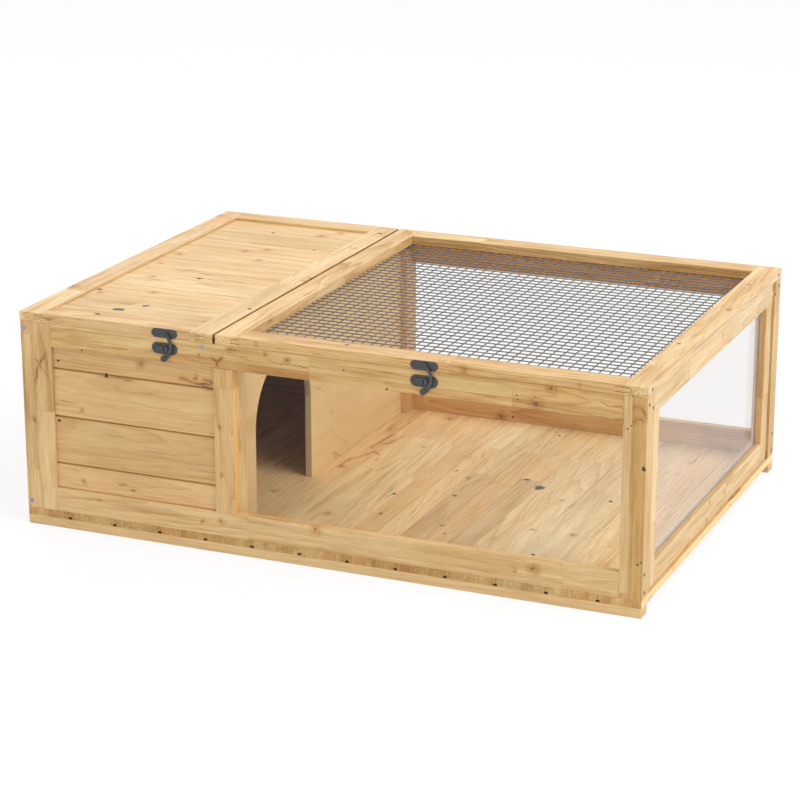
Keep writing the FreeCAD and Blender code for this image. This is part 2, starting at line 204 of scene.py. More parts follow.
class Finish:
    """One procedural material, or the world's light, built node by node."""

    def __init__(self, name, shelf=bpy.data.materials):
        self.owner = shelf.new(name)
        self.owner.use_nodes = True
        self.tree = self.owner.node_tree
        self.tree.nodes.clear()

    def node(self, kind, settings=None, inputs=None, output=0):
        """Adds a node: its settings are set first, then the values or links of its sockets."""
        made = self.tree.nodes.new(kind)
        for name, value in (settings or {}).items():
            if name == "stops":
                self.set_stops(made.color_ramp, value)
            else:
                setattr(made, name, value)
        for name, value in (inputs or {}).items():
            socket = self.find(made.inputs, name)
            if isinstance(value, Value):
                self.tree.links.new(value.socket, socket)
            else:
                socket.default_value = value
        return Value(self, self.find(made.outputs, output))

    @staticmethod
    def find(sockets, name):
        """A socket by its index, its identifier or its name."""
        if isinstance(name, int):
            return sockets[name]
        for socket in sockets:
            if socket.identifier == name:
                return socket
        return sockets[name]

    @staticmethod
    def set_stops(ramp, stops):
        while len(ramp.elements) < len(stops):
            ramp.elements.new(1.0)
        for element, (place, colour) in zip(ramp.elements, stops):
            element.position = place
            element.color = (*colour, 1)

    def outputs(self, value, *names):
        """Other outputs of the node that a value comes from."""
        return [Value(self, self.find(value.socket.node.outputs, name)) for name in names]

    def place(self):
        return self.node("ShaderNodeTexCoord", output="Object")

    def facing(self):
        """The three parts of the surface's normal."""
        return self.split(self.node("ShaderNodeTexCoord", output="Normal"))

    def split(self, vector):
        """The three parts of a vector."""
        return self.outputs(self.node("ShaderNodeSeparateXYZ", inputs={"Vector": vector}), X, Y, Z)

    def join(self, x, y, z):
        return self.node("ShaderNodeCombineXYZ", inputs={"X": x, "Y": y, "Z": z})

    def vector(self, operation, first, second=(0, 0, 0), output="Vector"):
        return self.node("ShaderNodeVectorMath", {"operation": operation}, {0: first, 1: second}, output)

    def scaled(self, vector, factor):
        return self.node("ShaderNodeVectorMath", {"operation": "SCALE"}, {0: vector, "Scale": factor})

    def noise(self, vector, scale, detail=2.0, roughness=0.5, output=0):
        return self.node("ShaderNodeTexNoise", {"noise_dimensions": "3D"},
                         {"Vector": vector, "Scale": scale, "Detail": detail, "Roughness": roughness}, output)

    def grained(self, vector, stretch, scale, detail=2.0, roughness=0.5):
        """Noise that is drawn out along the first part of a vector."""
        return self.noise(self.vector("MULTIPLY", vector, (stretch, 1.0, 1.0)), scale, detail, roughness)

    def chance(self, dimensions, *seeds, output=0):
        return self.node("ShaderNodeTexWhiteNoise", {"noise_dimensions": dimensions},
                         {"Vector": self.join(*seeds)}, output)

    def mix(self, factor, first, second, blend="MIX"):
        """One colour over another."""
        colours = [value if isinstance(value, Value) else (*value, 1) for value in (first, second)]
        return self.node("ShaderNodeMix", {"data_type": "RGBA", "blend_type": blend},
                         {"Factor_Float": factor, "A_Color": colours[0], "B_Color": colours[1]}, "Result_Color")

    def stain(self, factor, colour, tint):
        """A colour multiplied by a tint, as far as the factor says."""
        return self.mix(factor, colour, tint, "MULTIPLY")

    def bump(self, height, distance, strength=1.0):
        return self.node("ShaderNodeBump", inputs={"Height": height, "Distance": distance, "Strength": strength})

    def principled(self, **inputs):
        named = {name.replace("_", " "): value for name, value in inputs.items()}
        return self.node("ShaderNodeBsdfPrincipled", inputs=named)

    def done(self, surface, ending="ShaderNodeOutputMaterial"):
        output = self.tree.nodes.new(ending)
        self.tree.links.new(surface.socket, output.inputs["Surface"])
        return self.owner


# Softwood: honey-stained fir, glued up from finger-jointed blocks

cream = (0.805, 0.620, 0.362)
honey = (0.755, 0.548, 0.288)
straw = (0.715, 0.498, 0.244)
tan = (0.610, 0.398, 0.186)
late_wood = (0.78, 0.64, 0.46)
pale_fibre = (1.035, 1.030, 1.025)
dark_fibre = (0.915, 0.885, 0.850)
crack_brown = (0.34, 0.21, 0.12)
ruddy = (1.05, 0.97, 0.86)
rosy = (1.02, 0.98, 0.95)
yellowish = (0.98, 1.01, 1.01)
resin = (0.50, 0.32, 0.18)
# Brown of the glue lines, also the painted shade in the gaps between wall boards and where pieces meet
glue_line_and_painted_shade = (0.62, 0.48, 0.34)
end_grain = (0.79, 0.79, 0.71)
halo_brown = (0.80, 0.64, 0.46)
# Near black of the dark knots, also painted shade inside the floor's notches
knot_black_and_notch_shade = (0.030, 0.028, 0.034)
brown_knot = (0.20, 0.095, 0.038)

# A plain length of timber; the list of pieces below gives what differs from it
plain_length = {
    # Axis of the grain, and the glued strips across it: by default the piece's longest side and one strip
    "grain": None, "strip": None, "strip_start": None,
    # Length of a chance block, or blocks that are set: where each starts, and its shade or None for a chance one
    "block": 0.26, "blocks": (), "stagger": 0.0,
    # Shades added strip by strip, how far shades show, and the tints of the whole piece and of its warm blocks
    "shades": (), "contrast": 0.5, "tone": (1, 1, 1), "warm": rosy,
    # Strength of the glue lines (painted shade in the gaps on the wall boards), their width, and the strength of
    # the figure and of the end grain
    "joint": 0.3, "joint_width": 1.2 * MM, "figure": 1.0, "end": 0.5,
    # Edges with painted shade where pieces meet: axis, which end of it, reach, axis that the face looks along, and
    # depth of the painted shade
    "recess": (),
    # Painted light and shade on faces that look one way: axis that the face looks along, and tint
    "sides": (),
    "notched": False, "dark": (), "brown": (), "cracks": (), "checks": (), "seams": (),
}


class Timber:
    """Where one timber piece lies, which way its grain runs and how it was glued up."""

    def __init__(self, name, **cut):
        vars(self).update(plain_length, **cut)
        low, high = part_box(name)
        size = high - low
        thinnest, _, longest = sorted(range(3), key=lambda axis: size[axis])
        self.name = name
        self.middle = (low + high) / 2
        self.half = size / 2
        self.face = thinnest
        if self.grain is None:
            self.grain = longest
        self.across = 3 - self.grain - self.face
        if self.strip is None:
            self.strip, self.strip_start = size[self.across], low[self.across]
        self.strip_start = self.strip_start - self.middle[self.across]
        self.blocks = [(start * MM - self.middle[self.grain], shade) for start, shade in self.blocks]
        self.seed = zlib.crc32(name.encode()) % 997 / 9.97


def stepped(run, steps):
    """The level of the last step whose start has been passed."""
    level = steps[0][1]
    for (_, before), (start, after) in zip(steps, steps[1:]):
        if after != before:
            level = level + (after - before) * run.over(start)
    return level


def nearest(distances):
    return functools.reduce(Value.least, distances)


def from_knots(wood, timber, point, knots):
    """Distance to the nearest of some knots, in the knot's own radii."""
    return nearest(wood.vector("DISTANCE", point, Vector(place) * MM - timber.middle, "Value") / (radius * MM)
                   for *place, radius in knots)


def from_cracks(wood, timber, point, chains):
    """Distance to the nearest of some cracks, each a chain of places."""
    distances = []
    for chain in chains:
        places = [Vector(place) * MM - timber.middle for place in chain]
        for start, end in zip(places, places[1:]):
            run = end - start
            from_start = wood.vector("SUBTRACT", point, start)
            share = wood.vector("DOT_PRODUCT", from_start, run / run.length_squared, "Value").most(0).least(1)
            distances.append(wood.vector("DISTANCE", from_start, wood.scaled(run, share), "Value"))
    return nearest(distances)


def glue_up(wood, timber, along, strip, strip_run):
    """Blocks end to end in each strip: three chances a block, its shade, and the distances to the butt joints."""
    strip_chance = wood.chance("2D", strip, timber.seed, 0)
    if timber.blocks:
        run = along + timber.stagger * strip_chance.over(0.7)
        block = sum(run.over(start) for start, _ in timber.blocks)
        butts = [abs(run - start) for start, _ in timber.blocks[1:]]
    else:
        run = along / (timber.block * (0.7 + 0.6 * strip_chance)) + 7.3 * strip_chance + timber.seed
        block = run.whole()
        butts = [run.from_whole() * timber.block]
    chances = wood.chance("3D", block, strip, timber.seed, output="Color")
    set_by_hand = timber.blocks and timber.blocks[0][1] is not None
    shade = stepped(run, timber.blocks) if set_by_hand else wood.split(chances)[0]
    if timber.shades:
        shade = shade + stepped(strip_run, list(enumerate(timber.shades)))
    return chances, shade, butts


def crack_stains(wood, timber, centred, bent, frayed):
    """Masks and tints of the cracks, checks and seams that are set by place."""
    stains = []
    if timber.cracks:
        crack = from_cracks(wood, timber, bent, timber.cracks) + frayed
        stains.append((crack.rise(7.0 * MM, 1.0 * MM) * 0.6, halo_brown))
        stains.append((crack.rise(1.4 * MM, 0.4 * MM) * 0.75, crack_brown))
    if timber.checks:
        check = from_cracks(wood, timber, bent, timber.checks) + frayed
        stains.append((check.rise(1.2 * MM, 0.3 * MM) * 0.55, crack_brown))
    if timber.seams:
        seam = from_cracks(wood, timber, centred, timber.seams)
        stains.append((seam.rise(0.9 * MM, 0.4 * MM) * 0.70, crack_brown))
    return stains


def softwood(timber):
    """Blocks of different tone, wavy growth rings, fibres, resin lines, knots and darker end grain, with painted
    light and shade on some faces and edges.
    """
    wood = Finish("softwood_" + timber.name)
    centred = wood.vector("SUBTRACT", wood.place(), timber.middle)
    parts = wood.split(centred)
    along, across, through = (parts[axis] for axis in (timber.grain, timber.across, timber.face))
    normal = wood.facing()

    # Strips side by side, each of blocks end to end
    strip_run = (across - timber.strip_start) / timber.strip
    strip = strip_run.whole()
    chances, shade, butts = glue_up(wood, timber, along, strip, strip_run)
    lean_chance, pith_chance, ring_chance = wood.split(chances)

    # Coordinates along the grain, different in every block
    body = wood.vector("ADD", wood.join(along, across, through), wood.scaled(chances, 5.0))
    wave = wood.grained(body, 0.10, 34) - 0.5
    ripple = wood.grained(body, 0.35, 95, 1.0) - 0.5

    # Growth rings about a pith that lies under the face and leans along the grain
    offset = across - timber.strip_start - (strip + 0.5) * timber.strip
    sideways = offset + (pith_chance - 0.5) * (1.5 * timber.strip) + wave * (20 * MM) + ripple * (4 * MM)
    lean = along * ((lean_chance - 0.5) * pith_lean)
    depth = through + pith_depth + ring_chance * pith_spread + lean + wave * (12 * MM)
    radius = wood.vector("LENGTH", wood.join(sideways, depth, 0), output="Value")
    ring = (radius / (ring_width + ring_spread * ring_chance)).part()
    late = ring ** 2.2 * wood.grained(body, 0.10, 60, 1.0).rise(0.25, 0.70)

    # Fibres, drifting tone and thin resin lines
    fibre = wood.grained(body, 0.03, 620, 2.0, 0.6)
    streak = wood.grained(body, 0.05, 110)
    band = wood.grained(body, 0.045, 52, 2.0, 0.45)
    drift = wood.grained(body, 0.30, 22)
    fleck = wood.grained(body, 0.09, 330, 3.0, 0.6)
    vein = abs(wood.grained(body, 0.07, 46, 3.0, 0.6) - 0.5)
    line = vein.rise(0.014, 0.004) * wood.grained(body, 0.4, 17, 1.0).rise(0.60, 0.72)

    # Glue lines: between strips, and fainter between blocks; on the wall boards the wide lines are painted shade
    # in the gaps between boards
    from_side = strip_run.from_whole() * timber.strip
    joint = from_side.rise(timber.joint_width, 0.3 * timber.joint_width) * (0.4 + 0.9 * drift)
    if butts:
        joint = joint.most(nearest(butts).rise(1.0 * MM, 0.3 * MM) * 0.6)
    stains = [(joint * timber.joint, glue_line_and_painted_shade)]

    # Knots: a few chance pin knots, and those that are set by place; the grain curls round the brown ones
    spots = wood.node("ShaderNodeTexVoronoi", {"voronoi_dimensions": "3D", "feature": "F1"},
                      {"Vector": wood.vector("ADD", centred, (timber.seed, 0, 0)), "Scale": 1 / knot_cell})
    from_spot, spot = wood.outputs(spots, "Distance", "Color")
    spot_chance, spot_size, _ = wood.split(spot)
    dark = from_spot * knot_cell / (pin_knot + pin_knot_spread * spot_size)
    dark = dark + spot_chance.rise(0.84, 0.80) * far_off
    wobble = (wood.noise(body, 380) - 0.5) * 1.5
    swirl = wood.vector("SUBTRACT", wood.noise(body, 70, output="Color"), (0.5, 0.5, 0.5))
    reach = [0.0 if axis == timber.face else knot_swirl for axis in range(3)]
    bent = wood.vector("ADD", centred, wood.vector("MULTIPLY", swirl, reach))
    if timber.dark:
        dark = dark.least(from_knots(wood, timber, bent, timber.dark))
    dark_mask = (dark * (1 + wobble)).rise(1.10, 0.95)
    resin_mask = line
    if timber.brown:
        brown = from_knots(wood, timber, bent, timber.brown)
        curl = abs((brown * 0.9 + wave * 5.0 + ripple * 3.0).part() - 0.5).rise(0.16, 0.04) * brown.rise(4.6, 1.2)
        resin_mask = line.most(curl * 0.7)
        stains.append((brown.rise(4.0, 0.8) * 0.7, halo_brown))
    stains += crack_stains(wood, timber, centred, bent, wobble * MM)

    # Colour of the long faces
    palette = wood.node("ShaderNodeValToRGB", {"stops": [(0, cream), (0.4, honey), (0.75, straw), (1, tan)]},
                        {"Fac": shade})
    colour = wood.mix(timber.contrast, honey, palette)
    colour = wood.stain(1.0, colour, wood.mix(ring_chance, timber.warm, yellowish))
    for mask, strength in ((late, 0.80), (streak.rise(0.52, 0.78), 0.50), (band.rise(0.42, 0.72), 0.40),
                           (drift.rise(0.35, 0.75), 0.35), (fleck.rise(0.48, 0.72), 0.42)):
        colour = wood.stain(mask * (strength * timber.figure), colour, late_wood)
    colour = wood.stain(1.0, colour, wood.mix(fibre.rise(0.38, 0.66), pale_fibre, dark_fibre))
    colour = wood.stain(resin_mask * 0.85, colour, resin)
    for mask, tint in stains:
        colour = wood.stain(mask, colour, tint)
    if timber.brown:
        colour = wood.mix((brown * (1 + wobble)).rise(0.80, 0.50) * 0.85, colour, brown_knot)
    colour = wood.mix(dark_mask * 0.95, colour, knot_black_and_notch_shade)

    # End grain, with the marks of the saw
    end = abs(normal[timber.grain]).rise(0.6, 0.9)
    saw_mark = wood.noise(wood.join(across, through * 0.06, 0.0), 400)
    sawn = wood.stain(saw_mark.rise(0.35, 0.65) * 0.85, end_grain, late_wood)
    sawn = wood.stain(pith_chance.rise(0.3, 0.9) * 0.5, sawn, late_wood)
    sawn = wood.stain(wood.noise(wood.join(across, 0.0, 0.0), 45, 3.0).rise(0.4, 0.7) * 0.7, sawn, late_wood)
    colour = wood.stain(end * timber.end, colour, sawn)

    # Tint of the piece, painted light and shade on faces that look one way, painted shade on edges where pieces
    # meet and inside the floor's notches
    colour = wood.stain(1.0, colour, timber.tone)
    # Painted light and shade: faces that look along one axis are made brighter, darker or warmer
    for axis, tint in timber.sides:
        colour = wood.stain(abs(normal[axis]).rise(0.6, 0.9), colour, tint)
    # Painted shade where one piece meets another: darker towards the edge, on faces that look one way
    for axis, side, reach, looking, depth in timber.recess:
        from_edge = timber.half[axis] - parts[axis] * side
        hidden = from_edge.rise(reach, 0.6 * reach) * abs(normal[looking]).rise(0.5, 0.8)
        colour = wood.stain(hidden * depth, colour, glue_line_and_painted_shade)
    # Painted shade: the faces inside the floor's notches are painted near black
    if timber.notched:
        from_joint = (strip_run / 2).from_whole() * (2 * timber.strip)
        inside = abs(normal[timber.across]).most(-1 * normal[timber.face]).rise(0.5, 0.8)
        colour = wood.mix(inside * from_joint.rise(1.05 * floor_notch, floor_notch), colour, knot_black_and_notch_shade)

    rough = 0.46 + late * 0.10 + fibre * 0.10 + end * 0.25
    relief = fibre * 0.5 - late * 0.35 - line - dark_mask * 0.6
    return wood.done(wood.principled(Base_Color=colour, Roughness=rough, Normal=wood.bump(relief, 0.12 * MM, 0.6)))


# Other finishes

def plywood(name):
    """Smooth sanded face veneer with faint grain, and layered edges."""
    low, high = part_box(name)
    ply = Finish("plywood_" + name)
    x, y, z = ply.split(ply.vector("SUBTRACT", ply.place(), (low + high) / 2))
    body = ply.join(x, y * 0.06, z)
    cloud = ply.noise(ply.join(x, y * 0.5, z), 9, 3.0)
    band = ply.noise(body, 40, 3.0, 0.55)
    fibre = ply.noise(body, 420)
    crack = abs(ply.noise(ply.join(x, y * 0.25, z + y * 0.35), 26) - 0.5).rise(0.010, 0.002)
    crack = crack * ply.noise(ply.join(x, y, z), 11, 1.0).rise(0.60, 0.70)
    face = ply.mix(cloud.rise(0.3, 0.7), (0.782, 0.564, 0.282), (0.732, 0.515, 0.248))
    face = ply.stain(band.rise(0.4, 0.8) * 0.5, face, late_wood)
    face = ply.stain(fibre.rise(0.4, 0.8) * 0.3, face, late_wood)
    face = ply.stain(crack * 0.6, face, resin)
    layer = ((x / (high.x - low.x) + 0.5) * 2.5).part().rise(0.45, 0.55)
    layers = ply.mix(layer, (0.710, 0.590, 0.350), (0.560, 0.450, 0.260))
    layers = ply.stain(fibre * 0.4, layers, late_wood)
    colour = ply.mix(abs(ply.facing()[X]).rise(0.7, 0.4), face, layers)
    return ply.done(ply.principled(Base_Color=colour, Roughness=0.48 + fibre * 0.14,
                                   Normal=ply.bump(fibre, 0.05 * MM, 0.4)))


def acrylic(name, tint, painted_glare, gloss):
    """Clear sheet: faintly tinted, with a sheen that grows at grazing angles, and a milky band of painted glare at
    its foot and ends that also covers the shade of its groove.
    """
    sheet = Finish("acrylic_" + name)
    place = sheet.place()
    low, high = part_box(name)
    parts = sheet.split(place)
    run = X if high.x - low.x > high.y - low.y else Y
    from_end = (high[run] - low[run]) / 2 - abs(parts[run] - (high[run] + low[run]) / 2)
    # A milky white band of painted glare at the pane's foot and ends
    foot = (parts[Z] - low.z).rise(*foot_glare)
    glare_band = foot.most(from_end.rise(*end_glare) * 0.75) * painted_glare
    grazing = sheet.node("ShaderNodeLayerWeight", inputs={"Blend": 0.5}, output="Facing")
    sheen = gloss + 0.70 * grazing ** 5
    smear = sheet.noise(place, 3.5)
    clear = sheet.node("ShaderNodeBsdfTransparent", inputs={"Color": (*tint, 1)})
    shine = sheet.principled(Base_Color=(0.95, 0.95, 0.95, 1), Metallic=1 - glare_band.rise(0.02, 0.2),
                             Roughness=0.05 + smear * 0.08 + glare_band * 0.6)
    return sheet.done(sheet.node("ShaderNodeMixShader", inputs={0: sheen.most(glare_band), 1: clear, 2: shine}))


def coated_wire():
    """Welded wire under a grey coat, a little paler where it has rubbed."""
    wire = Finish("coated_wire")
    place = wire.place()
    wear = wire.noise(place, 90).rise(0.45, 0.75)
    grain = wire.noise(place, 1500, 1.0)
    colour = wire.mix(wear, (0.170, 0.169, 0.166), (0.240, 0.238, 0.233))
    return wire.done(wire.principled(Base_Color=colour, Roughness=0.34 + grain * 0.2, Metallic=0.35))


def latch_paint():
    """Charcoal powder coat: fine orange peel, paler rubbed patches."""
    paint = Finish("latch_paint")
    place = paint.place()
    peel = paint.noise(place, 1400)
    rub = paint.noise(place, 120, 3.0).rise(0.45, 0.75)
    colour = paint.mix(rub, (0.046, 0.047, 0.051), (0.070, 0.070, 0.076))
    return paint.done(paint.principled(Base_Color=colour, Roughness=0.34 + peel * 0.16,
                                       Normal=paint.bump(peel, 0.05 * MM, 0.5)))


def zinc(name, bright, dull):
    """Zinc-plated steel: drawn lines along X and cloudy plating."""
    plate = Finish(name)
    place = plate.place()
    cloud = plate.noise(place, 160, 3.0)
    lines = plate.grained(place, 0.05, 2600)
    colour = plate.mix(cloud.rise(0.3, 0.7), bright, dull)
    rough = 0.26 + lines * 0.22 + cloud * 0.08
    return plate.done(plate.principled(Base_Color=colour, Metallic=1.0, Roughness=rough,
                                       Normal=plate.bump(lines, 0.03 * MM, 0.4)))


# Knots that are set by place: the face that shows them, then places on it and radii in millimetres

dark_knots = {
    "solid_lid_boards": ("top", [(-342, -251, 7.0), (-315, -220, 4.4), (-420, -167, 4.0), (-314, -58, 4.4),
                                 (-336, 232, 3.4), (-230, 162, 3.0)]),
    "solid_lid_front_rail": ("top", [(-353, -295, 3.8)]),
    "solid_lid_right_stile": ("top", [(-168, -190, 3.0), (-172, 282, 2.8)]),
    "mesh_lid_front_rail": ("top", [(31, -296, 3.2)]),
    "mesh_lid_right_stile": ("top", [(437, -118, 2.2), (452, 66, 1.8), (440, 214, 1.8)]),
    "floor_boards": ("top", [(188, 36, 7.5), (158, 63, 4.2), (303, 22, 3.6), (86, -43, 3.6), (1, -72, 3.2),
                             (16, -154, 3.4), (115, -165, 2.4), (133, -193, 2.4), (47, 59, 2.4), (133, 275, 2.6),
                             (270, -222, 2.8)]),
    "front_wall_boards": ("front", [(-403, 248, 2.0), (-327, 236, 3.0), (-406, 158, 2.6)]),
    "front_top_rail": ("front", [(37, 288, 1.4), (99, 269, 2.0), (-363, 269, 1.6), (282, 286, 1.2),
                                 (284, 280, 1.2), (-179, 287, 1.0), (-180, 284, 1.0), (-178, 280, 1.0)]),
    "front_right_post": ("front", [(457, 208, 3.2), (453.5, 75.7, 1.6), (457.7, 76.6, 1.6)]),
    "front_right_stile": ("front", [(434.1, 258.4, 1.4), (438.4, 261.4, 1.4)]),
    "back_bottom_rail": ("front", [(43, 32, 1.6)]),
}
brown_knots = {
    "solid_lid_boards": ("top", [(-340, -153, 3.0), (-324, 112, 2.9), (-408, 58, 3.1), (-408, -3, 2.4),
                                 (-236, 272, 3.1), (-256, 244, 3.8), (-296, 132, 3.1), (-280, 71, 2.9),
                                 (-382, -74, 2.2), (-410, -184, 2.4)]),
    "solid_lid_left_stile": ("top", [(-457, 288, 4.0), (-457, -180, 4.6)]),
    "solid_lid_right_stile": ("top", [(-161, -4, 2.6), (-161, -22, 2.6)]),
    "mesh_lid_front_rail": ("front", [(-93, 310, 1.5), (209, 310, 2.2), (368, 309, 1.6)]),
    "floor_boards": ("top", [(-164, -127, 3.2), (-53, -183, 3.4), (-118, 10, 3.0), (-55, 286, 4.0),
                             (298, -129, 2.6), (-42, 142, 1.8), (235, 0, 1.6), (238, -130, 1.6), (75, 35, 2.0)]),
    "front_wall_boards": ("front", [(-272, 260, 2.6), (-368, 181, 1.6), (-368, 73, 1.8), (-188, 250, 1.6)]),
    "front_top_rail": ("front", [(-132, 299, 2.6), (-47, 292, 2.4), (-79, 296, 1.6), (330, 299, 3.0),
                                 (309, 276, 4.0)]),
    "front_left_post": ("front", [(-443, 158, 2.4)]),
    "front_centre_stile": ("front", [(-148, 184, 1.8), (-149, 114, 1.6)]),
    "front_bottom_rail": ("front", [(-150, 47, 2.4), (-179, 42, 1.6), (-7, 56, 3.2), (310, 47, 3.4),
                                    (283, 41, 1.8)]),
    "back_bottom_rail": ("front", [(24, 31, 3.6)]),
    "right_top_rail": ("right", [(28, 290, 2.0)]),
    "right_bottom_rail": ("right", [(70, 44, 2.4), (-20, 32, 1.8), (-5, 54, 2.0)]),
}

# Brown cracks and finer checks: the face that shows them, then chains of places on it
cracks = {
    "front_wall_boards": ("front", [[(-212, 247), (-196, 242), (-180, 242), (-162, 243)],
                                    [(-180, 242), (-162, 236)], [(-174, 248), (-162, 245)]]),
    "front_top_rail": ("front", [[(-159, 281), (-152, 278), (-153, 271)], [(-152, 278), (-146, 283)]]),
    "front_left_stile": ("front", [[(-424, 258), (-431, 242), (-438, 227), (-443, 207), (-444, 190)]]),
    "front_right_post": ("front", [[(440, 289), (450, 288), (457, 282), (460, 275)],
                                   [(442, 266), (446, 273), (452, 275), (457, 270)]]),
    "floor_boards": ("top", [[(-122, 8), (-123, 34), (-115, 53), (-101, 90), (-89, 82)],
                             [(-110, 106), (-107, 175)], [(-99, 126), (-87, 176)]]),
}
checks = {
    "front_left_stile": ("front", [[(-439, 247), (-431, 242), (-425, 234), (-419, 226)]]),
    "front_top_rail": ("front", [[(-71, 291), (-53, 285), (-40, 286), (-25, 284), (-15, 286)],
                                 [(398, 288), (407, 286), (428, 285)], [(396, 271), (410, 269), (428, 270)]]),
    "floor_boards": ("top", [[(92, 236), (97, 214), (94, 192)], [(55, 162), (60, 128)],
                             [(72, 42), (80, 32), (78, 20)]]),
    "solid_lid_boards": ("top", [[(-300, 60), (-270, 58), (-245, 61)], [(-330, -57), (-285, -59), (-215, -54)],
                                 [(-254, -140), (-225, -146), (-203, -145)],
                                 [(-422, 154), (-400, 150), (-372, 156)], [(-240, -128), (-205, -126)]]),
}

# Bridle joints that show on the front edges of the lids, and a long check on the bottom rail's top
seams = {
    "front_bottom_rail": ("top", [[(-114, -316.8), (-100, -316.4), (-91, -317.4), (-74, -318.2), (-60, -320.4),
                                   (-46, -321.4)]]),
    "solid_lid_left_stile": ("front", [[(-438, 312.6), (-427, 312.6)], [(-438, 307.8), (-427, 307.8)]]),
    "solid_lid_front_rail": ("front", [[(-426, 312.6), (-424, 312.6)]]),
    "solid_lid_right_stile": ("front", [[(-183, 311.6), (-172, 311.6)], [(-183, 306.4), (-172, 306.4)]]),
    "mesh_lid_left_stile": ("front", [[(-131, 312.4), (-120, 312.4)], [(-131, 306.2), (-120, 306.2)]]),
    "mesh_lid_right_stile": ("front", [[(426, 312.9), (436, 312.9), (436, 306.3), (426, 306.3)]]),
    "mesh_lid_front_rail": ("front", [[(416, 312.9), (426, 312.9)], [(416, 306.3), (426, 306.3)]]),
}


def on_face(name, face, spots):
    """Spots on a piece's face, with the face's own place put in among their numbers."""
    low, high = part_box(name)
    axis, level = {"top": (Z, high.z), "front": (Y, low.y), "right": (X, high.x)}[face]
    return [(*spot[:axis], level / MM, *spot[axis:]) for spot in spots]


def marks_by_place(name):
    """The knots, cracks, checks and seams that are set on one piece."""
    marks = {}
    for kind, table in (("dark", dark_knots), ("brown", brown_knots)):
        if name in table:
            marks[kind] = on_face(name, *table[name])
    for kind, table in (("cracks", cracks), ("checks", checks), ("seams", seams)):
        if name in table:
            face, chains = table[name]
            marks[kind] = [on_face(name, face, chain) for chain in chains]
    return marks


# Tones that differ from piece to piece
tones = {
    "floor_boards": (1.125, 1.165, 1.225),
    "solid_lid_boards": (1.02, 1.05, 1.10),
    "solid_lid_left_stile": (1.08, 1.13, 1.25),
    "solid_lid_right_stile": (1.03, 1.08, 1.18),
    "solid_lid_front_rail": (0.945, 0.905, 0.88),
    "solid_lid_back_rail": (0.97, 1.02, 1.07),
    "mesh_lid_left_stile": (1.07, 1.12, 1.18),
    "mesh_lid_front_rail": (0.95, 0.94, 0.89),
    "mesh_lid_right_stile": (1.00, 1.03, 1.08),
    "mesh_lid_back_rail": (0.98, 1.04, 1.07),
    "front_top_rail": (0.925, 0.89, 0.73),
    "front_wall_boards": (0.96, 0.90, 0.80),
    "front_left_post": (1.06, 1.08, 1.06),
    "front_left_stile": (0.99, 0.95, 0.90),
    "front_centre_stile": (0.925, 0.85, 0.72),
    "front_right_stile": (0.97, 0.99, 0.96),
    "front_bottom_rail": (0.99, 0.98, 0.95),
    "front_right_post": (0.86, 0.79, 0.61),
    "back_right_post": (0.825, 0.765, 0.66),
    "right_front_stile": (0.93, 0.97, 1.03),
    "right_back_stile": (0.93, 0.97, 1.03),
    "right_bottom_rail": (0.91, 0.92, 0.93),
    "right_top_rail": (0.93, 0.97, 1.08),
    # The divider post is painted far paler than its wood: painted light on a post that stands in shade
    "front_divider_post": (1.22, 1.32, 1.36),
    # The foot battens are painted paler: painted light where little light reaches them near the ground
    "front_foot_batten": (1.08, 1.10, 1.10),
    "back_foot_batten": (1.08, 1.10, 1.10),
}
back_tone = (1.00, 0.91, 0.75)

# Painted light and shade on reveals and lid edges: the faces along one axis are painted brighter, darker or warmer
# than the rest of the piece
stile_reveal_light = [(X, (1.30, 1.22, 1.05))]
rail_reveal_light = [(Z, (1.18, 1.22, 1.22))]
side_reveal_light = [(Y, (1.07, 0.93, 0.74))]
lid_front_edge_light = [(Y, (1.09, 1.10, 1.05))]
painted_face_light = {
    "front_centre_stile": stile_reveal_light,
    "back_centre_stile": stile_reveal_light,
    "front_bottom_rail": rail_reveal_light,
    "back_bottom_rail": rail_reveal_light,
    "back_top_rail": [(Y, (1.04, 0.92, 0.75))],
    "front_right_post": [(Y, (1.07, 1.06, 0.98)), (X, (0.95, 0.95, 1.02))],
    "right_front_stile": side_reveal_light,
    "right_back_stile": side_reveal_light,
    "solid_lid_back_rail": [(Y, (1.20, 1.22, 1.10))],
    "solid_lid_left_stile": lid_front_edge_light,
    "solid_lid_right_stile": lid_front_edge_light,
    "solid_lid_front_rail": lid_front_edge_light,
    "mesh_lid_left_stile": lid_front_edge_light,
    "mesh_lid_front_rail": lid_front_edge_light,
    "mesh_lid_right_stile": lid_front_edge_light + [(X, (1.14, 1.25, 1.52))],
}

# Where a piece's first block starts: well before the piece itself, in millimetres
first = -1000

# Shades of the floor's strips from the left: the plain ones, then those in the middle of the run
floor_shades = (0.0,) * 14 + (-0.6, 0.2, 0.6, 0.6, -0.7, -1.0, -0.7, -0.4, 0.0)


